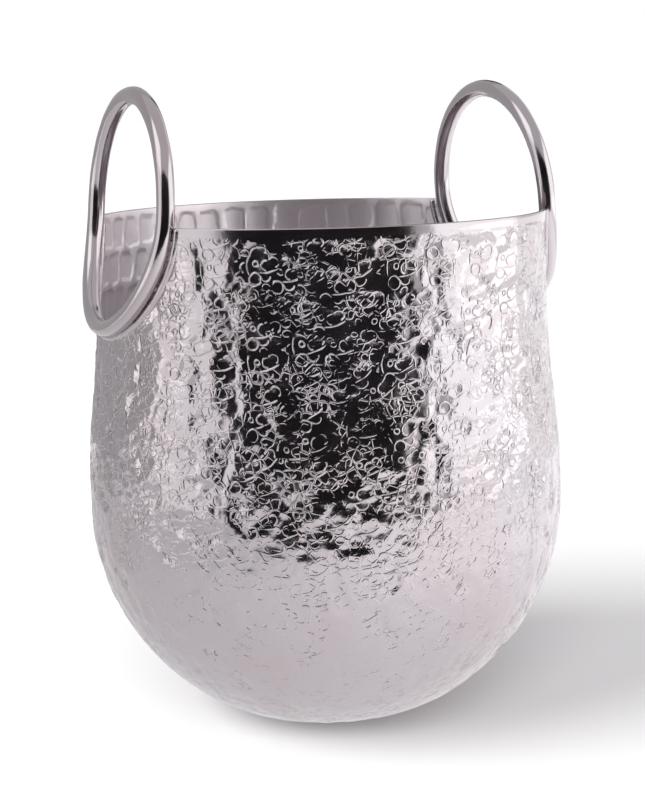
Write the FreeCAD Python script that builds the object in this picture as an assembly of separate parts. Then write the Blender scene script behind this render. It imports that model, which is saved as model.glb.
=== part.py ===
"""Ring-handled champagne bucket, raised from one sheet, in millimetres.

The bucket stands on the XY plane with its axis on +Z and the origin at the centre of its base.
Two closed rod rings stand in notches of the wall, at -X and +X. Their lower halves follow the
curve of the wall and are welded to it, and their upper halves stand above the rim as handles,
leaning in a little.
"""

import FreeCAD, Part
import math
import os

# Body
BODY_HEIGHT = 243.0          # base to rim
RIM_RADIUS = 108.0           # outside of the straight neck
NECK_LENGTH = 33.0           # straight wall below the rim
BELLY_RADIUS = 115.0         # outside, at the widest point
BELLY_HEIGHT = 105.0         # base to the widest point
BASE_FLAT_RADIUS = 24.0      # the flat that the bucket stands on
BOWL_RADIUS = 76.0           # outside radius of the curve that leaves the flat
SHEET = 2.0                  # wall thickness, the same everywhere
RIM_ROUNDING = 0.7           # rounding of both edges of the rim

# Ring handles
RING_RADIUS = 52.0           # ring centre to the rod's centreline
RING_RISE = 4.5              # ring centre above the rim
ROD_RADIUS = 4.1             # half the rod's thickness
RING_LEAN = 4.5              # how far the ring's upper half leans in, in degrees
SIDE_STAND = 1.1             # rod's centreline outside the middle of the sheet, beside the ring's centre
BOTTOM_STAND = 2.4           # the same at the bottom of the ring

# Welds
ROOT_GAP = 0.8               # from the rod to the cut edge of the sheet, filled by the weld
WELD_LAP = 0.8               # how far the weld stands out past each face of the sheet
WELD_END_DROP = 0.6          # how far below the rim the weld's ends stop

# Derived sizes
NECK_HEIGHT = BODY_HEIGHT - NECK_LENGTH
RING_HEIGHT = BODY_HEIGHT + RING_RISE
PAST_WALL = 20.0             # how far cutting tools reach past what they cut
HOOP_STEPS = 16              # steps between the points that a rod's curve passes through

# The wall's outline is four arcs that run smoothly into each other. The bowl arc leaves the flat
# base and the side arc carries on up to the belly. Two equal arcs then bend in and back, up to the neck.
side_reach = BELLY_RADIUS - BASE_FLAT_RADIUS
SIDE_RADIUS = (side_reach**2 + BELLY_HEIGHT**2 - 2 * BELLY_HEIGHT * BOWL_RADIUS) / (
    2 * (side_reach - BOWL_RADIUS)
)
BEND_ANGLE = 2 * math.atan2(BELLY_RADIUS - RIM_RADIUS, NECK_HEIGHT - BELLY_HEIGHT)
BEND_RADIUS = (NECK_HEIGHT - BELLY_HEIGHT) / (2 * math.sin(BEND_ANGLE))

# Each arc is its centre's distance from the axis, its centre's height and its outside radius.
BOWL_ARC = (BASE_FLAT_RADIUS, BOWL_RADIUS, BOWL_RADIUS)
SIDE_ARC = (BELLY_RADIUS - SIDE_RADIUS, BELLY_HEIGHT, SIDE_RADIUS)
BELLY_ARC = (BELLY_RADIUS - BEND_RADIUS, BELLY_HEIGHT, BEND_RADIUS)
WAIST_ARC = (RIM_RADIUS + BEND_RADIUS, NECK_HEIGHT, -BEND_RADIUS)
wider = math.copysign(1, SIDE_RADIUS - BOWL_RADIUS)
BOWL_END = math.atan2(
    wider * (BOWL_RADIUS - BELLY_HEIGHT), wider * (BASE_FLAT_RADIUS - SIDE_ARC[0])
)


def arc_point(arc, angle, inset):
    """The point of an outline arc at an angle above the horizontal, set in from the outside by inset."""
    centre_x, centre_z, radius = arc
    reach = radius - inset
    return FreeCAD.Vector(
        centre_x + reach * math.cos(angle), 0, centre_z + reach * math.sin(angle)
    )


def outline_arc(arc, start, end, inset):
    """One arc of the outline as an edge."""
    angles = (start, (start + end) / 2, end)
    return Part.Arc(*[arc_point(arc, angle, inset) for angle in angles]).toShape()


def wall_line(inset):
    """The edges of the outline from the flat base to the rim, set in from the outside by inset."""
    neck_foot = FreeCAD.Vector(RIM_RADIUS - inset, 0, NECK_HEIGHT)
    neck_top = FreeCAD.Vector(RIM_RADIUS - inset, 0, BODY_HEIGHT)
    return [
        outline_arc(BOWL_ARC, -math.pi / 2, BOWL_END, inset),
        outline_arc(SIDE_ARC, BOWL_END, 0, inset),
        outline_arc(BELLY_ARC, 0, BEND_ANGLE, inset),
        outline_arc(WAIST_ARC, BEND_ANGLE, 0, inset),
        Part.makeLine(neck_foot, neck_top),
    ]


def wall_radius(height, inset):
    """How far the wall is from the axis at a height, set in from its outside by inset."""
    if height >= NECK_HEIGHT:
        return RIM_RADIUS - inset
    bend_height = (BELLY_HEIGHT + NECK_HEIGHT) / 2
    arc = WAIST_ARC if height > bend_height else BELLY_ARC if height > BELLY_HEIGHT else SIDE_ARC
    centre_x, centre_z, radius = arc
    reach = radius - inset
    return centre_x + math.copysign(math.sqrt(reach**2 - (height - centre_z) ** 2), reach)


def bucket_sheet():
    """The whole raised sheet, before its notches are cut."""
    outside = wall_line(0)
    inside = wall_line(SHEET)
    base_centre = FreeCAD.Vector(0, 0, 0)
    floor_centre = FreeCAD.Vector(0, 0, SHEET)
    ends = [
        Part.makeLine(base_centre, FreeCAD.Vector(BASE_FLAT_RADIUS, 0, 0)),
        Part.makeLine(
            FreeCAD.Vector(RIM_RADIUS, 0, BODY_HEIGHT),
            FreeCAD.Vector(RIM_RADIUS - SHEET, 0, BODY_HEIGHT),
        ),
        Part.makeLine(FreeCAD.Vector(BASE_FLAT_RADIUS, 0, SHEET), floor_centre),
        Part.makeLine(floor_centre, base_centre),
    ]
    outline = Part.Wire(Part.__sortEdges__(outside + inside + ends))
    sheet = Part.Face(outline).revolve(FreeCAD.Vector(), FreeCAD.Vector(0, 0, 1), 360)
    rim_edges = [
        edge
        for edge in sheet.Edges
        if edge.BoundBox.ZMin > BODY_HEIGHT - 0.001 and edge.BoundBox.DiagonalLength > RIM_RADIUS
    ]
    return sheet.makeFillet(min(RIM_ROUNDING, 0.45 * SHEET), rim_edges)


def hoop_point(hoop_radius, angle):
    """A point in the middle of the sheet at +X, on a hoop around the ring's centre."""
    across = hoop_radius * math.cos(angle)
    height = RING_HEIGHT + hoop_radius * math.sin(angle)
    from_axis = wall_radius(height, SHEET / 2)
    return FreeCAD.Vector(math.sqrt(from_axis**2 - across**2), across, height)


def ring_point(angle):
    """A point on the ring's centreline at +X, at or below the ring's centre, a little outside the sheet."""
    depth = -math.sin(angle)
    leaning = RING_RADIUS * math.tan(math.radians(RING_LEAN)) * depth
    stand = SIDE_STAND + leaning + (BOTTOM_STAND - SIDE_STAND - leaning) * depth**2
    return hoop_point(RING_RADIUS, angle) + FreeCAD.Vector(stand, 0, 0)


def lower_angles(end_angle):
    """Angles round the ring's centre, from one end angle down and up to the other."""
    turn = -math.pi - 2 * end_angle
    return [end_angle + turn * step / HOOP_STEPS for step in range(HOOP_STEPS + 1)]


def rod_along(points, rod_radius):
    """A rod whose centreline runs smoothly through the points."""
    curve = Part.BSplineCurve()
    curve.interpolate(points)
    start = curve.tangent(curve.FirstParameter)[0]
    section = Part.Wire(Part.makeCircle(rod_radius, points[0], start))
    return Part.Wire(curve.toShape()).makePipeShell([section], True, False)


def hoop(rod_radius):
    """A closed rod at +X, round the ring's centre. Its upper half stands in a plane that leans in."""
    angles = lower_angles(0)
    lower_half = rod_along([ring_point(angle) for angle in angles], rod_radius)
    near_end = ring_point(0)
    lean = math.radians(RING_LEAN)
    up = FreeCAD.Vector(-math.sin(lean), 0, math.cos(lean))
    section = Part.Face(Part.Wire(Part.makeCircle(rod_radius, near_end, up)))
    centre = FreeCAD.Vector(near_end.x, 0, RING_HEIGHT)
    axis = FreeCAD.Vector(math.cos(lean), 0, math.sin(lean))
    upper_half = section.revolve(centre, axis, 180)
    return lower_half.fuse(upper_half)


def notch_tools():
    """What is cut from the sheet at +X: the rod's seat with its root gap, and all inside the ring."""
    reach = max(RIM_RADIUS, BELLY_RADIUS) + PAST_WALL
    centre = FreeCAD.Vector(0, 0, RING_HEIGHT)
    window = Part.makeCylinder(RING_RADIUS, reach, centre, FreeCAD.Vector(1, 0, 0))
    return [hoop(ROD_RADIUS + ROOT_GAP), window]


def weld_bead(ring, shell):
    """The weld at +X, which fills the gap between the ring and the sheet's edge and laps both faces."""
    hoop_radius = RING_RADIUS + ROD_RADIUS + ROOT_GAP / 2
    end_angle = -math.asin((RING_RISE + WELD_END_DROP) / hoop_radius)
    points = [hoop_point(hoop_radius, angle) for angle in lower_angles(end_angle)]
    bead = rod_along(points, SHEET / 2 + WELD_LAP)
    return bead.cut([ring, shell])


def at_left(shape):
    """The same shape at -X."""
    turned = shape.copy()
    turned.rotate(FreeCAD.Vector(), FreeCAD.Vector(0, 0, 1), 180)
    return turned


def only_solid(name, shape):
    """The one solid of a shape, which is what each node has to be."""
    if len(shape.Solids) != 1:
        raise ValueError(f"{name} has {len(shape.Solids)} solids")
    return shape.Solids[0]


right_notch = notch_tools()
left_notch = [at_left(tool) for tool in right_notch]
shell = bucket_sheet().cut(right_notch + left_notch)
right_ring = hoop(ROD_RADIUS)
right_weld = weld_bead(right_ring, shell)

nodes = {
    "bucket_shell": shell,
    "right_handle_ring": right_ring,
    "right_weld_bead": right_weld,
    "left_handle_ring": at_left(right_ring),
    "left_weld_bead": at_left(right_weld),
}

os.makedirs("parts", exist_ok=True)
for name, shape in nodes.items():
    only_solid(name, shape).exportStep(f"parts/{name}.step")
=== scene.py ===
# A round-bottomed champagne bucket, hammered out of one sheet of bright white metal, with a polished
# ring handle welded into a notch on each side. Its pieces stand in the order they are made: the raised
# bucket first, then the rings, then the welds, and at the end the floor, light and camera.
import math
import random

import bmesh
import bpy
from mathutils import Matrix, Vector, kdtree, noise


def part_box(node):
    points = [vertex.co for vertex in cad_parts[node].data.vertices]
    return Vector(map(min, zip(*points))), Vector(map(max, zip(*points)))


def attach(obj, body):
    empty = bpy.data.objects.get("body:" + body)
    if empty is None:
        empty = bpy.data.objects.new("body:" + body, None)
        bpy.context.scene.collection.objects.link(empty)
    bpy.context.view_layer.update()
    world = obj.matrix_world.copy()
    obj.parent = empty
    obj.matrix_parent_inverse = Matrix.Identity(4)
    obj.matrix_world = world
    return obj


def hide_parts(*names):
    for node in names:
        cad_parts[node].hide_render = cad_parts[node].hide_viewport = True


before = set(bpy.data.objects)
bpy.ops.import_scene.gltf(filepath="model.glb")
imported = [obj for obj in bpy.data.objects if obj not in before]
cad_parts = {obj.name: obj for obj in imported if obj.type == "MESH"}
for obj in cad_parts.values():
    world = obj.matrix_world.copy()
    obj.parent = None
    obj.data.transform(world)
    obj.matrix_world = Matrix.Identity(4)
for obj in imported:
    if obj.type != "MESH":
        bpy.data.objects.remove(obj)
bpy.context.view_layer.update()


# The raised bucket. One disc of sheet is raised into a bowl with a straight neck, then struck all over
# with a patterned hammer against a smooth stake: each blow prints its lines outside and leaves a
# plain shallow facet inside. The lip is filed level and burnished.

shell_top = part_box("bucket_shell")[1]
rim_height = shell_top[2]
belly_radius = shell_top[0]
rim_radius = 0.108
neck_foot = rim_height - 0.033
belly_height = 0.105
flat_radius = 0.024
bowl_radius = 0.076
sheet = 0.002

lip_edge = 0.00045           # how far the file rounds the lip
plain_strip = 0.0036         # unstruck metal under the lip

# Rows of faces along each part of the outline, and columns of faces round the bucket.
flat_rows, bowl_rows, side_rows, bend_rows, neck_rows, lip_rows = 6, 26, 58, 34, 22, 3
outside_columns, inside_columns = 448, 224
inside_fineness = 0.42       # rows inside for each row outside

side_reach = belly_radius - flat_radius
side_radius = (side_reach**2 + belly_height**2 - 2 * belly_height * bowl_radius) / (
    2 * (side_reach - bowl_radius)
)
bend = 2 * math.atan2(belly_radius - rim_radius, neck_foot - belly_height)
bend_radius = (neck_foot - belly_height) / (2 * math.sin(bend))
bowl_end = math.atan2(bowl_radius - belly_height, flat_radius - belly_radius + side_radius)
bowl_arc = (flat_radius, bowl_radius, bowl_radius)
side_arc = (belly_radius - side_radius, belly_height, side_radius)
belly_arc = (belly_radius - bend_radius, belly_height, bend_radius)
waist_arc = (rim_radius + bend_radius, neck_foot, -bend_radius)


def along_arc(arc, start, end, steps, inset):
    """Points on one arc of the wall's outline, without its first point."""
    centre, height, radius = arc
    reach = radius - inset
    angles = [start + (end - start) * step / steps for step in range(1, steps + 1)]
    return [(centre + reach * math.cos(a), 0, height + reach * math.sin(a)) for a in angles]


def wall_outline(inset, fineness):
    """The outline from the middle of the base to the lip, set in by inset."""
    flat_steps = max(2, round(flat_rows * fineness))
    points = [(flat_radius * step / flat_steps, 0, inset) for step in range(flat_steps + 1)]
    points += along_arc(bowl_arc, -math.pi / 2, bowl_end, round(bowl_rows * fineness), inset)
    points += along_arc(side_arc, bowl_end, 0, round(side_rows * fineness), inset)
    points += along_arc(belly_arc, 0, bend, round(bend_rows * fineness), inset)
    points += along_arc(waist_arc, bend, 0, round(bend_rows * fineness), inset)
    neck_steps = round(neck_rows * fineness)
    neck_rise = rim_height - lip_edge - neck_foot
    for step in range(1, neck_steps + 1):
        points.append((rim_radius - inset, 0, neck_foot + neck_rise * step / neck_steps))
    return points


def lip_outline():
    """The outline over the lip, from its outside edge to its inside edge."""
    outside, inside = rim_radius - lip_edge, rim_radius - sheet + lip_edge
    height = rim_height - lip_edge
    points = along_arc((outside, height, lip_edge), 0, math.pi / 2, lip_rows, 0)
    points += [(inside, 0, rim_height)]
    points += along_arc((inside, height, lip_edge), math.pi / 2, math.pi, lip_rows, 0)
    return points


def spun(bm, outline, turns):
    """A surface of revolution from an outline."""
    verts = [bm.verts.new(point) for point in outline]
    edges = [bm.edges.new(pair) for pair in zip(verts, verts[1:])]
    bmesh.ops.spin(
        bm, geom=verts + edges, cent=(0, 0, 0), axis=(0, 0, 1),
        angle=2 * math.pi, steps=turns, use_merge=True,
    )


# Where the blows fall: in columns down the wall and in rings round the bowl, never quite regular,
# with a second blow between every other pair or so.
blow_width, blow_height = 0.0200, 0.0136
wander_down, wander_round = 0.0012, 0.0013     # how far a blow misses its place
wrist_turn = 0.17                              # how far the hammer's face is turned, in radians
tilt_sideways, tilt_upward = 0.06, 0.025       # how much harder it bites, per millimetre
weakest, strongest = 0.5, 1.05                 # force of a blow
second_blows = 0.5                             # share of the blows with a second one beside them
chance = random.Random(7)

trail = wall_outline(0, 1)[::-1]


def wall_place(down):
    """The wall's radius, height and upward slope at a length down the outline from the rim."""
    gone = 0
    for (r0, _, z0), (r1, _, z1) in zip(trail, trail[1:]):
        step = math.hypot(r1 - r0, z1 - z0)
        if gone + step >= down:
            part = (down - gone) / step
            slope = ((r0 - r1) / step, (z0 - z1) / step)
            return r0 + (r1 - r0) * part, z0 + (z1 - z0) * part, slope
        gone += step
    return None


def on_wall_at(place, turn):
    """A point on the wall with its sideways and upward directions, at a turn about the axis."""
    radius, height, (slope_out, slope_up) = place
    outward = Vector((math.cos(turn), math.sin(turn), 0))
    sideways = Vector((-outward.y, outward.x, 0))
    upward = outward * slope_out + Vector((0, 0, slope_up))
    return outward * radius + Vector((0, 0, height)), sideways, upward


def struck(down, turn):
    """One blow: its centre, its sideways and upward directions, its force, and its tilt."""
    place = wall_place(max(plain_strip, down + chance.gauss(0, wander_down)))
    if place is None:
        return []
    turn += chance.gauss(0, wander_round) / place[0]
    centre, sideways, upward = on_wall_at(place, turn)
    lean = Matrix.Rotation(chance.gauss(0, wrist_turn), 3, sideways.cross(upward))
    tilt = (chance.gauss(0, tilt_sideways), chance.gauss(0, tilt_upward))
    return [(centre, lean @ sideways, lean @ upward, chance.uniform(weakest, strongest), tilt)]


def lay_blows():
    """Every blow of the hammer, from the lip down to the base."""
    blows = []
    columns = round(2 * math.pi * rim_radius / blow_width)
    phases = [chance.uniform(0, blow_height) for _ in range(columns)]
    row = 0
    while True:
        down = plain_strip + blow_height * (row + 0.1)
        place = wall_place(down)
        if place is None or place[0] < blow_width * 0.6:
            return blows
        on_wall = place[0] > 0.9 * rim_radius
        count = columns if on_wall else max(5, round(2 * math.pi * place[0] / blow_width))
        for column in range(count):
            turn = 2 * math.pi * (column + (0 if on_wall else 0.5 * (row % 2))) / count
            blows += struck(down + (phases[column] if on_wall else 0), turn)
            if chance.random() < second_blows:
                blows += struck(down + chance.uniform(0, blow_height), turn + math.pi / count)
        row += 1


def finder_of(prints):
    """Finds the prints nearest to a point by their centres."""
    finder = kdtree.KDTree(len(prints))
    for index, one_print in enumerate(prints):
        finder.insert(one_print[0], index)
    finder.balance()
    return finder


blows = lay_blows()
blow_finder = finder_of(blows)

# The hammer's face, in millimetres from its middle. Each line is an arc: its centre, its radius,
# where it starts and ends in degrees, and how deep it is cut.
hammer_lines = [
    (-4.2, -3.5, 2.6, 0, 360, 1.0),
    (4.3, 2.7, 12.0, 160, 197, 1.0),
    (-2.2, 13.5, 14.3, 272, 303, 0.9),
    (3.6, 4.2, 2.2, -60, 150, 1.0),
    (1.0, 2.7, 2.3, 92, 262, 0.9),
    (0.7, -1.9, 2.2, 195, 355, 0.9),
    (6.9, -3.2, 3.7, -60, 68, 1.5),
    (7.0, 3.9, 3.6, -62, 85, 1.5),
    (-2.0, 6.1, 4.6, 20, 176, 0.8),
    (-3.7, 3.2, 1.1, 0, 360, 0.8),
    (0.6, -6.6, 1.5, 20, 290, 0.7),
    (-8.6, 1.5, 2.3, 100, 240, 0.7),
]


def on_hammer(point, blow):
    """A point's place on the hammer's face, in millimetres, for one blow."""
    centre, sideways, upward = blow[:3]
    away = (point - centre) * 1000
    return away.dot(sideways), away.dot(upward)


def print_depth(x, y, blow):
    """How deep a blow has gone at a place on the hammer's face, about 1 for a fair blow."""
    force, (tilt_x, tilt_y) = blow[3:]
    return max(0.1, force * (1 + tilt_x * x + tilt_y * y))


def line_rise(x, y, breadth):
    """How much of a line's height stands at a place on the hammer's face, from 0 to 1."""
    rise = 0
    for line_x, line_y, radius, start, end, cut in hammer_lines:
        dx, dy = x - line_x, y - line_y
        off = abs(math.hypot(dx, dy) - radius)
        past_start = (math.degrees(math.atan2(dy, dx)) - start) % 360
        if off < 2 * breadth and past_start <= end - start:
            rise = max(rise, cut * math.exp(-((off / breadth) ** 2)))
    return rise


dish_depth, pattern_depth = 0.00026, 0.00036
tilt_depth, most_tilt = 0.00115, 0.3
swell_depth, lump_depth = 0.00016, 0.00010
deepest_print = 0.0012
seam_width = 0.0045          # how wide the raised seam between two blows is
line_breadth = 1.15          # of the pattern as the sheet takes it up, in millimetres


def struck_depth(point):
    """How far the hammer has driven the outside in at a point of the wall, in metres."""
    (_, index, near), (_, _, next_near) = blow_finder.find_n(point, 2)
    blow = blows[index]
    x, y = on_hammer(point, blow)
    between = min(1, (next_near - near) / seam_width)
    between *= 2 - between
    dish = dish_depth * between
    lines = pattern_depth * (1 - line_rise(x, y, line_breadth))
    tilt_x, tilt_y = blow[4]
    tilt = max(-most_tilt, min(most_tilt, tilt_x * x + tilt_y * y))
    swell = swell_depth * (1 + noise.noise(point * 45)) + lump_depth * noise.noise(point * 150)
    depth = (dish + lines) * print_depth(x, y, blow) + tilt_depth * between * tilt + swell
    return min(deepest_print, max(0, depth))


# Where the stake stood inside: rows of facets, each about as wide as a thumb.
facet_width, facet_height = 0.0145, 0.0170
facet_rows, first_row = 15, 0.42
facets = []
for row in range(facet_rows):
    down = plain_strip + facet_height * (row + first_row)
    reach = wall_place(down)[0]
    count = max(6, round(2 * math.pi * reach / facet_width))
    for column in range(count):
        place = wall_place(down + chance.gauss(0, 0.0006))
        turn = 2 * math.pi * (column + 0.5 * (row % 2)) / count + chance.gauss(0, 0.0007) / reach
        facets.append(on_wall_at(place, turn))
facet_finder = finder_of(facets)

facet_dish, facet_ridge, facet_swell = 0.00055, 0.00040, 0.00012
facet_seam = 0.010           # how wide the soft ridge between two facets is


def facet_depth(point):
    """How far the stake has spread the inside at a point of the wall, in metres."""
    (_, _, near), (_, _, next_near) = facet_finder.find_n(point, 2)
    between = min(1, (next_near - near) / facet_seam)
    swell = facet_swell * noise.noise(point * 40)
    return facet_dish * between * (2 - between) - facet_ridge + swell


bm = bmesh.new()
spun(bm, wall_outline(0, 1) + lip_outline(), outside_columns)
bmesh.ops.remove_doubles(bm, verts=bm.verts, dist=1e-6)
outside_verts = set(bm.verts)
spun(bm, wall_outline(sheet, inside_fineness)[:-1], inside_columns)
bmesh.ops.remove_doubles(bm, verts=bm.verts, dist=1e-6)
open_edges = [edge for edge in bm.edges if edge.is_boundary]
bmesh.ops.bridge_loops(bm, edges=open_edges)
bmesh.ops.recalc_face_normals(bm, faces=bm.faces)
bm.normal_update()


def part_way(value, start, length):
    """How far a value is along a stretch, from 0 to 1."""
    return min(1, max(0, (value - start) / length))


# The marks fade out under the lip and on the flat, and they are shallower low on the bowl.
moves = {}
for vert in bm.verts:
    height = vert.co.z
    if vert in outside_verts:
        fade = part_way(rim_height - plain_strip - height, 0, 0.005)
        stand = min(1, height / 0.004) * (0.45 + 0.55 * part_way(height, 0.02, 0.06))
        moves[vert] = -vert.normal * struck_depth(vert.co) * fade * stand
    else:
        fade = part_way(rim_height - 0.0020 - height, 0, 0.003)
        moves[vert] = -vert.normal * facet_depth(vert.co) * fade
for vert, move in moves.items():
    vert.co += move

hammer_map = bm.loops.layers.uv.new("hammer")
depth_map = bm.loops.layers.uv.new("print_depth")
for face in bm.faces:
    face.smooth = True
    outside = all(vert in outside_verts for vert in face.verts)
    face.material_index = 0 if outside else 1
    finder, prints = (blow_finder, blows) if outside else (facet_finder, facets)
    blow = prints[finder.find(face.calc_center_median())[1]]
    for loop in face.loops:
        x, y = on_hammer(loop.vert.co, blow)
        loop[hammer_map].uv = x, y
        loop[depth_map].uv = print_depth(x, y, blow) if outside else 1, 0


def made_object(name, bm, *materials):
    """An object made from a bmesh, with its materials, in the scene."""
    mesh = bpy.data.meshes.new(name)
    bm.to_mesh(mesh)
    bm.free()
    for material in materials:
        mesh.materials.append(material)
    made = bpy.data.objects.new(name, mesh)
    bpy.context.scene.collection.objects.link(made)
    return made


def add_node(tree, kind, inputs, **settings):
    """A new node with its settings. Each of its inputs is a socket to link or a value."""
    node = tree.nodes.new("ShaderNode" + kind)
    for name, value in settings.items():
        setattr(node, name, value)
    for name, value in inputs.items():
        if isinstance(value, bpy.types.NodeSocket):
            tree.links.new(value, node.inputs[name])
        else:
            node.inputs[name].default_value = value
    return node


def cloud(tree, place, scale, detail=3, output="Fac"):
    """A noise pattern's value, or its colour as three values."""
    inputs = {"Vector": place, "Scale": scale, "Detail": detail}
    return add_node(tree, "TexNoise", inputs).outputs[output]


def sum_up(tree, operation, first, second=0.0):
    """One step of arithmetic. Each side is a socket or a number."""
    return add_node(tree, "Math", {0: first, 1: second}, operation=operation).outputs[0]


def product(tree, first, *others):
    """Several values multiplied together."""
    for other in others:
        first = sum_up(tree, "MULTIPLY", first, other)
    return first


def vector_step(tree, operation, *sides, output=0):
    """One step of vector arithmetic."""
    inputs = dict(enumerate(sides))
    return add_node(tree, "VectorMath", inputs, operation=operation).outputs[output]


def spread(tree, value, low, high, to_low, to_high, smooth=False):
    """A value carried from one range to another."""
    shape = "SMOOTHSTEP" if smooth else "LINEAR"
    inputs = dict(enumerate((value, low, high, to_low, to_high)))
    return add_node(tree, "MapRange", inputs, interpolation_type=shape).outputs[0]


def split(tree, vector):
    """A vector's three values by name."""
    return add_node(tree, "SeparateXYZ", {0: vector}).outputs


def bright_metal(name, colour):
    """A bare metal material with its node tree, its shader and its object coordinates."""
    material = bpy.data.materials.new(name)
    material.use_nodes = True
    tree = material.node_tree
    shader = tree.nodes["Principled BSDF"]
    shader.inputs["Metallic"].default_value = 1
    place = add_node(tree, "TexCoord", {}).outputs["Object"]
    patches = spread(tree, cloud(tree, place, 14, 2), 0.35, 0.65, 0, 1)
    warmer = (colour[0] * 0.985, colour[1] * 0.95, colour[2] * 0.935, 1)
    inputs = {"A": (*colour, 1), "B": warmer, "Factor": patches}
    drift = add_node(tree, "Mix", inputs, data_type="RGBA")
    tree.links.new(drift.outputs["Result"], shader.inputs["Base Color"])
    return material, tree, shader, place


def finish_metal(tree, shader, height, bump_depth, strength, roughness):
    """Gives a metal its fine relief and its roughness."""
    inputs = {"Strength": strength, "Distance": bump_depth, "Height": height}
    bump = add_node(tree, "Bump", inputs)
    tree.links.new(bump.outputs["Normal"], shader.inputs["Normal"])
    tree.links.new(roughness, shader.inputs["Roughness"])


def printed_line(tree, face_place, line, breadth):
    """One line of the hammer's face as a ridge from 0 to 1."""
    x, y, radius, start, end, cut = line
    away = vector_step(tree, "SUBTRACT", face_place, (x, y, 0))
    length = vector_step(tree, "LENGTH", away, output="Value")
    off = sum_up(tree, "SUBTRACT", length, radius)
    ridge = sum_up(tree, "EXPONENT", product(tree, off, off, -1 / breadth**2))
    ridge = product(tree, ridge, cut)
    if end - start == 360:
        return ridge
    middle, half = math.radians((start + end) / 2), math.radians((end - start) / 2)
    direction = (math.cos(middle), math.sin(middle), 0)
    along = vector_step(tree, "DOT_PRODUCT", away, direction, output="Value")
    facing = sum_up(tree, "DIVIDE", along, length)
    end_fade = 0.12
    low, high = math.cos(half + end_fade), math.cos(half - end_fade)
    return product(tree, ridge, spread(tree, facing, low, high, 0, 1, True))


def hammered_outside():
    """Bright metal with the hammer's lines, a net of finer marks, and a patchy polish."""
    material, tree, shader, place = bright_metal("hammered_outside", (0.585, 0.555, 0.578))
    face_place = add_node(tree, "UVMap", {}, uv_map="hammer").outputs[0]
    wobble = cloud(tree, place, 170, 1, "Color")
    centred = vector_step(tree, "SUBTRACT", wobble, (0.5, 0.5, 0.5))
    shaken = vector_step(tree, "MULTIPLY_ADD", centred, (1.6, 1.6, 0), face_place)
    lines = 0.0
    for line in hammer_lines:
        lines = sum_up(tree, "MAXIMUM", printed_line(tree, shaken, line, 0.25), lines)
    cells = add_node(
        tree, "TexVoronoi", {"Scale": 240, "Randomness": 0.85, "Vector": place},
        feature="DISTANCE_TO_EDGE",
    )
    net = spread(tree, cells.outputs["Distance"], 0.02, 0.11, 0.75, 0, True)
    net_shown = spread(tree, cloud(tree, place, 75, 2), 0.44, 0.56, 0, 1, True)
    lines = sum_up(tree, "MAXIMUM", lines, product(tree, net, net_shown))

    height = split(tree, place)["Z"]
    under_lip = spread(tree, height, rim_height - 0.0055, rim_height - 0.0035, 1, 0, True)
    blow_depth = split(tree, add_node(tree, "UVMap", {}, uv_map="print_depth").outputs[0])["X"]
    worn = spread(tree, cloud(tree, place, 110, 3), 0.34, 0.56, 0.12, 1)
    on_side = spread(tree, height, 0.055, 0.12, 0, 1, True)
    dashes = spread(tree, cloud(tree, place, 260, 1), 0.47, 0.56, 0, 1, True)
    left_over = sum_up(tree, "MAXIMUM", on_side, dashes)
    relief = product(tree, lines, product(tree, blow_depth, worn, under_lip, left_over))

    lumps_low = spread(tree, height, 0.04, 0.12, 0.35, 1, True)
    lumps = product(tree, cloud(tree, place, 170, 1), 1.25, lumps_low, under_lip)
    peel = sum_up(tree, "ADD", lumps, product(tree, cloud(tree, place, 420, 2), 0.10))
    roughness = spread(tree, cloud(tree, place, 55), 0.3, 0.7, 0.10, 0.19)
    finish_metal(tree, shader, sum_up(tree, "ADD", relief, peel), 0.00032, 1, roughness)
    return material


def planished_inside_painted_bright():
    """The same metal where only the smooth stake has touched it, a little softer in its shine, and
    much paler in colour than outside as painted light for the inside.
    """
    # The pale colour here is painted light: it is the same metal as outside, lightened to stand in for
    # the light inside the bucket.
    material, tree, shader, place = bright_metal("planished_inside_painted_bright", (0.88, 0.85, 0.88))
    facet_place = add_node(tree, "UVMap", {}, uv_map="hammer").outputs[0]
    wander = cloud(tree, place, 75, 2, "Color")
    moved = vector_step(tree, "MULTIPLY_ADD", wander, (7, 7, 0), facet_place)
    on_facet = split(tree, vector_step(tree, "SUBTRACT", moved, (3.5, 3.5, 0)))
    from_middle = []
    for axis, width in (("X", facet_width), ("Y", facet_height)):
        off = sum_up(tree, "POWER", sum_up(tree, "ABSOLUTE", on_facet[axis]), 4)
        from_middle.append(product(tree, off, (500 * width) ** -4))
    rounded = sum_up(tree, "POWER", sum_up(tree, "ADD", *from_middle), 0.25)
    ridge = spread(tree, rounded, 0.66, 1.0, 0, 1, True)
    fine = product(tree, cloud(tree, place, 260, 3), 0.08)
    roughness = spread(tree, cloud(tree, place, 60), 0.3, 0.7, 0.40, 0.50)
    finish_metal(tree, shader, sum_up(tree, "ADD", ridge, fine), 0.00036, 1, roughness)
    return material


bucket = made_object("hammered_bucket", bm, hammered_outside(), planished_inside_painted_bright())

# The notches: everything of the wall inside the rings goes, so its cut edge ends in the rod.
ring_radius = 0.052
ring_rise = 0.0045           # of the ring's centre above the rim
ring_height = rim_height + ring_rise
notch_radius = ring_radius + 0.0010

bm = bmesh.new()
bmesh.ops.create_cone(
    bm, cap_ends=True, segments=128, radius1=notch_radius, radius2=notch_radius, depth=0.3,
    matrix=Matrix.Translation((0, 0, ring_height)) @ Matrix.Rotation(math.pi / 2, 4, "Y"),
)
notch = made_object("notch", bm)
cut = bucket.modifiers.new("notches", "BOOLEAN")
cut.object = notch
cut.operation = "DIFFERENCE"
cut.solver = "MANIFOLD"
graph = bpy.context.evaluated_depsgraph_get()
cut_mesh = bpy.data.meshes.new_from_object(bucket.evaluated_get(graph), depsgraph=graph)
bucket.modifiers.clear()
bucket.data = cut_mesh
bpy.data.objects.remove(notch)

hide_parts("bucket_shell")
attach(bucket, "root")


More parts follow.
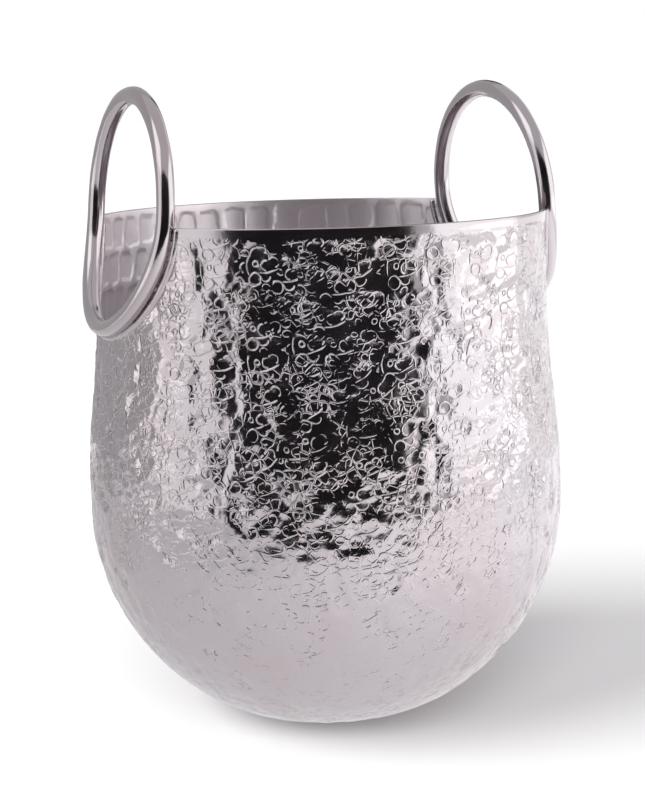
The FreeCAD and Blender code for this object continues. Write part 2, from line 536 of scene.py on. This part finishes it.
# The ring handles. Each is a length of round rod bent into a ring, butt welded shut and polished. Its
# lower half is then bent to the curve of the wall and stands a little outside it, and its upper half
# leans in slightly as the handle.

rod_radius = 0.0041
ring_lean = math.radians(4.5)
side_stand = 0.0011          # rod's middle outside the middle of the sheet, beside the ring's centre
bottom_stand = 0.0024        # the same at the bottom of the ring


def wall_radius(height):
    """How far the middle of the sheet is from the axis at a height."""
    if height >= neck_foot:
        return rim_radius - sheet / 2
    arc = waist_arc if height > (belly_height + neck_foot) / 2 else belly_arc
    centre, arc_height, radius = arc
    reach = radius - sheet / 2
    return centre + math.copysign(math.sqrt(reach**2 - (height - arc_height) ** 2), reach)


def weld_reach(turn):
    """How far out the weld's centreline stands at a turn round the ring's centre."""
    height = ring_height + bead_hoop * math.sin(turn)
    return math.sqrt(wall_radius(height) ** 2 - (bead_hoop * math.cos(turn)) ** 2)


def ring_reach(turn):
    """How far out the ring's centreline stands at a turn round the ring's centre."""
    depth = -math.sin(turn)
    if depth < 0:
        upright = math.sqrt(wall_radius(ring_height) ** 2 - ring_radius**2) + side_stand
        return upright + ring_radius * math.sin(ring_lean) * depth
    stand = side_stand + ring_radius * math.tan(ring_lean) * depth
    height = ring_height - ring_radius * depth
    on_wall = math.sqrt(wall_radius(height) ** 2 - (ring_radius * math.cos(turn)) ** 2)
    return on_wall + stand + (bottom_stand - stand) * depth**2


def set_in_wall(bm, hoop_radius, hoop_reach, side):
    """Bends a flat hoop round the ring's centre to the wall, on one side of the bucket."""
    little = 0.01
    for vert in bm.verts:
        turn = math.atan2(vert.co.z - ring_height, vert.co.y)
        outward = math.hypot(vert.co.y, vert.co.z - ring_height) - hoop_radius
        change = hoop_reach(turn + little) - hoop_reach(turn - little)
        lean = math.atan2(change, 2 * little * hoop_radius)
        leaning = math.cos(ring_lean) if turn > 0 else 1
        round_ring = Vector((0, -math.sin(turn), math.cos(turn)))
        from_ring = Vector((0, math.cos(turn), math.sin(turn)))
        across, rise = hoop_radius * math.cos(turn), hoop_radius * math.sin(turn) * leaning
        centre = Vector((hoop_reach(turn), across, ring_height + rise))
        across_rod = Vector((math.cos(lean), 0, 0)) - round_ring * math.sin(lean)
        vert.co = centre + from_ring * outward + across_rod * vert.co.x
    if side < 0:
        half_turn = Matrix.Rotation(math.pi, 3, "Z")
        bmesh.ops.rotate(bm, verts=bm.verts, cent=(0, 0, 0), matrix=half_turn)
    for face in bm.faces:
        face.smooth = True


def polished_rod():
    """Rod buffed bright, with faint marks from the buffing wheel."""
    material, tree, shader, place = bright_metal("polished_rod", (0.585, 0.555, 0.578))
    roughness = spread(tree, cloud(tree, place, 90, 5), 0.3, 0.7, 0.09, 0.2)
    finish_metal(tree, shader, cloud(tree, place, 240, 3), 0.00006, 0.5, roughness)
    return material


rod_metal = polished_rod()
rod_dip = 0.00012            # how far the buffing has cut into the rod here and there
sides = ((1, "right"), (-1, "left"))
for side, side_name in sides:
    bm = bmesh.new()
    section = bmesh.ops.create_circle(
        bm, segments=28, radius=rod_radius,
        matrix=Matrix.Translation((0, ring_radius, ring_height)),
    )
    bmesh.ops.spin(
        bm, geom=section["verts"] + bm.edges[:], cent=(0, 0, ring_height), axis=(1, 0, 0),
        angle=2 * math.pi, steps=200, use_merge=True,
    )
    bmesh.ops.recalc_face_normals(bm, faces=bm.faces)
    for vert in bm.verts:
        unevenness = noise.noise(vert.co * 90 + Vector((side, 0, 0))) - 0.6
        vert.co += vert.normal * rod_dip * unevenness
    set_in_wall(bm, ring_radius, ring_reach, side)
    ring = made_object(f"{side_name}_ring", bm, rod_metal)
    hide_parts(f"{side_name}_handle_ring")
    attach(ring, "root")


# The welds. A bead of the same metal runs round the outside of each ring's lower half, where the notch
# meets the rod. It is dressed down with files to a smooth narrow fillet on both faces of the sheet.

bead_lap = 0.0008            # past each face of the sheet
bead_radius = sheet / 2 + bead_lap
root_gap = 0.0008            # from the rod to the sheet
bead_hoop = ring_radius + rod_radius + root_gap / 2
bead_end = -math.asin((ring_rise + 0.0006) / bead_hoop)
coarse_ripple, fine_ripple = 0.00030, 0.00016


def dressed_weld():
    """Weld metal after the file: softer in shine, with its ripples almost gone."""
    material, tree, shader, place = bright_metal("dressed_weld", (0.60, 0.57, 0.592))
    roughness = spread(tree, cloud(tree, place, 120), 0.3, 0.7, 0.2, 0.34)
    finish_metal(tree, shader, cloud(tree, place, 500, 2), 0.00012, 0.7, roughness)
    return material


weld_metal = dressed_weld()
for side, side_name in sides:
    bm = bmesh.new()
    bmesh.ops.create_circle(
        bm, segments=14, cap_ends=True, radius=bead_radius,
        matrix=Matrix.Translation((0, bead_hoop, ring_height)),
    )
    to_end = Matrix.Rotation(bead_end, 3, "X")
    bmesh.ops.rotate(bm, verts=bm.verts, cent=(0, 0, ring_height), matrix=to_end)
    bmesh.ops.spin(
        bm, geom=bm.faces[:], cent=(0, 0, ring_height), axis=(1, 0, 0),
        angle=-math.pi - 2 * bead_end, steps=110,
    )
    bmesh.ops.recalc_face_normals(bm, faces=bm.faces)
    for vert in bm.verts:
        ripple = coarse_ripple * noise.noise(vert.co * 210)
        ripple += fine_ripple * noise.noise(vert.co * 480)
        vert.co += vert.normal * ripple
    set_in_wall(bm, bead_hoop, weld_reach, side)
    weld = made_object(f"{side_name}_weld", bm, weld_metal)
    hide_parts(f"{side_name}_weld_bead")
    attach(weld, "root")


# The studio. A pale table top that ends a little way in front of the bucket, a dark room beyond it
# behind the camera, glowing boards that only the metal mirrors as painted reflections, and soft white
# light from around it.

front_turn = -23.8           # of the camera's side about the bucket, in degrees


def flat_card(name, size, lean, place, turn):
    """A flat card, leant back from upright, set at a place, then turned about the bucket."""
    bm = bmesh.new()
    bmesh.ops.create_grid(bm, x_segments=1, y_segments=1, size=0.5)
    bmesh.ops.scale(bm, verts=bm.verts, vec=(*size, 1))
    tip = Matrix.Rotation(math.radians(90 - lean), 3, "X")
    bmesh.ops.rotate(bm, verts=bm.verts, cent=(0, 0, 0), matrix=tip)
    bmesh.ops.translate(bm, verts=bm.verts, vec=place)
    facing = Matrix.Rotation(math.radians(turn + front_turn), 3, "Z")
    bmesh.ops.rotate(bm, verts=bm.verts, cent=(0, 0, 0), matrix=facing)
    material = bpy.data.materials.new(name)
    material.use_nodes = True
    tree = material.node_tree
    return made_object(name, bm, material), tree, tree.nodes["Principled BSDF"], facing


def only_mirrored(card):
    """Hides a card from everything but reflections."""
    card.visible_camera = card.visible_shadow = card.visible_diffuse = False


table_size, front_edge = 40, 0.62
table_place = (0, table_size / 2 - front_edge, 0)
floor, _, paper, _ = flat_card("table_top", (table_size, table_size), 90, table_place, 0)
paper.inputs["Base Color"].default_value = (0.62, 0.62, 0.62, 1)
paper.inputs["Roughness"].default_value = 0.9

room, _, dark, _ = flat_card("dark_room", (2.56, 2.3), 0, (-0.06, -1.25, 0), 0)
only_mirrored(room)
dark.inputs["Base Color"].default_value = (0.02, 0.018, 0.02, 1)
dark.inputs["Roughness"].default_value = 1
dark.inputs["Specular IOR Level"].default_value = 0


def studio_board(name, turn, lean, size, place, glows, painted_shade_near_base=1):
    """A board seen only in the metal, glowing as a painted reflection. Its painted light may change
    across it, and painted shade may darken it near the bucket.
    """
    board, tree, shader, facing = flat_card(name, size, lean, place, turn)
    only_mirrored(board)
    shader.inputs["Base Color"].default_value = (0, 0, 0, 1)
    shader.inputs["Specular IOR Level"].default_value = 0
    shader.inputs["Emission Color"].default_value = (1, 0.98, 1, 1)
    spot = add_node(tree, "TexCoord", {}).outputs["Object"]
    across = vector_step(tree, "DOT_PRODUCT", spot, facing @ Vector((1, 0, 0)), output="Value")
    away = vector_step(tree, "LENGTH", spot, output="Value")
    # Painted light that changes across the board, and painted shade that dims it near the bucket's
    # base.
    glow = spread(tree, across, -size[0] / 3, size[0] / 3, *glows, True)
    shade = spread(tree, away, 0.03, 0.32, painted_shade_near_base, 1, True)
    tree.links.new(product(tree, glow, shade), shader.inputs["Emission Strength"])


# Glowing boards seen only in the metal: painted reflections of grey walls beside the bucket and a dark
# wall behind it.
studio_board("grey_board_left", -118, 0, (0.9, 1.1), (0, -0.75, 0.55), (0.47, 0.47))
studio_board("grey_board_back", -163, 0, (0.55, 1.1), (0, -0.75, 0.55), (0.47, 0.47))
studio_board("dark_board_behind", 180, 0, (0.7, 1.2), (0, -1.25, 0.6), (0.05, 0.05))
# A glowing card seen only in the metal: a painted reflection of the lit table top, brighter towards
# the right, with a painted contact shadow near the bucket's base.
studio_board("painted_table_reflection", 0, 90, (1.3, 1.2), (0, -0.02, 0.001), (0.68, 1.33), 0.84)

world = bpy.data.worlds.new("studio")
bpy.context.scene.world = world
world.use_nodes = True
sky = world.node_tree
sky_light = sky.nodes["Background"]
sky_light.inputs["Color"].default_value = (0.60, 0.585, 0.60, 1)
sky_seen = add_node(sky, "Background", {"Color": (1, 1, 1, 1)})
is_seen = add_node(sky, "LightPath", {}).outputs["Is Camera Ray"]
sky_mix = add_node(sky, "MixShader", {0: is_seen, 1: sky_light.outputs[0], 2: sky_seen.outputs[0]})
sky.links.new(sky_mix.outputs[0], sky.nodes["World Output"].inputs["Surface"])

aim = Vector((0, 0, 0.12))   # the middle of the bucket, where the soft lights point


def soft_box(name, turn, distance, height, size, glow):
    """A square soft light that faces the bucket from a turn away from the camera's side."""
    from_front = math.radians(turn + front_turn)
    reach = Vector((math.sin(from_front), -math.cos(from_front), 0)) * distance
    place = reach + Vector((0, 0, height))
    lamp = bpy.data.lights.new(name, "AREA")
    lamp.size = size
    lamp.energy = glow * math.pi * size**2
    box = bpy.data.objects.new(name, lamp)
    box.location = place
    box.rotation_euler = (aim - place).to_track_quat("-Z", "Y").to_euler()
    box.visible_camera = box.visible_diffuse = False
    bpy.context.scene.collection.objects.link(box)


soft_box("right_panel", 82, 1.3, 0.35, 1.4, 0.95)
soft_box("right_back_panel", 138, 1.4, 0.35, 1.4, 0.25)
soft_box("left_panel", -70, 1.3, 0.35, 1.0, 0.45)
soft_box("high_left_panel", -60, 1.1, 1.3, 1.0, 0.9)


def far_light(name, direction, angle, strength):
    """A broad even light from far off, which the metal doesn't mirror."""
    lamp = bpy.data.lights.new(name, "SUN")
    lamp.angle = math.radians(angle)
    lamp.energy = strength
    light = bpy.data.objects.new(name, lamp)
    light.visible_glossy = False
    light.rotation_euler = Vector(direction).to_track_quat("-Z", "Y").to_euler()
    bpy.context.scene.collection.objects.link(light)


far_light("window", (1.0, 0.02, -0.64), 45, 4.8)
far_light("front_fill", (0.404, 0.915, -0.65), 40, 2.1)

# The camera stands a little above the rim, and looks a little down.
camera_distance, camera_rise = 0.8035, math.radians(12.36)
camera_turn, camera_roll = math.radians(-23.83), math.radians(-1.38)
aim_left, aim_up = 0.0006, 0.0281
back = Vector((
    math.sin(camera_turn) * math.cos(camera_rise),
    -math.cos(camera_turn) * math.cos(camera_rise),
    math.sin(camera_rise),
))
rightward = Vector((math.cos(camera_turn), math.sin(camera_turn), 0))
middle = Vector((0, 0, rim_height / 2))
eye = middle + back * camera_distance
look = middle - rightward * aim_left + Vector((0, 0, aim_up)) - eye
lens = bpy.data.cameras.new("camera")
lens.sensor_fit = "VERTICAL"
lens.sensor_height = 24
lens.lens = 24 * 1633 / 807
camera = bpy.data.objects.new("camera", lens)
camera.location = eye
level_view = look.to_track_quat("-Z", "Y").to_matrix()
camera.rotation_euler = (level_view @ Matrix.Rotation(camera_roll, 3, "Z")).to_euler()
bpy.context.scene.collection.objects.link(camera)
bpy.context.scene.camera = camera
bpy.context.scene.view_settings.view_transform = "Standard"
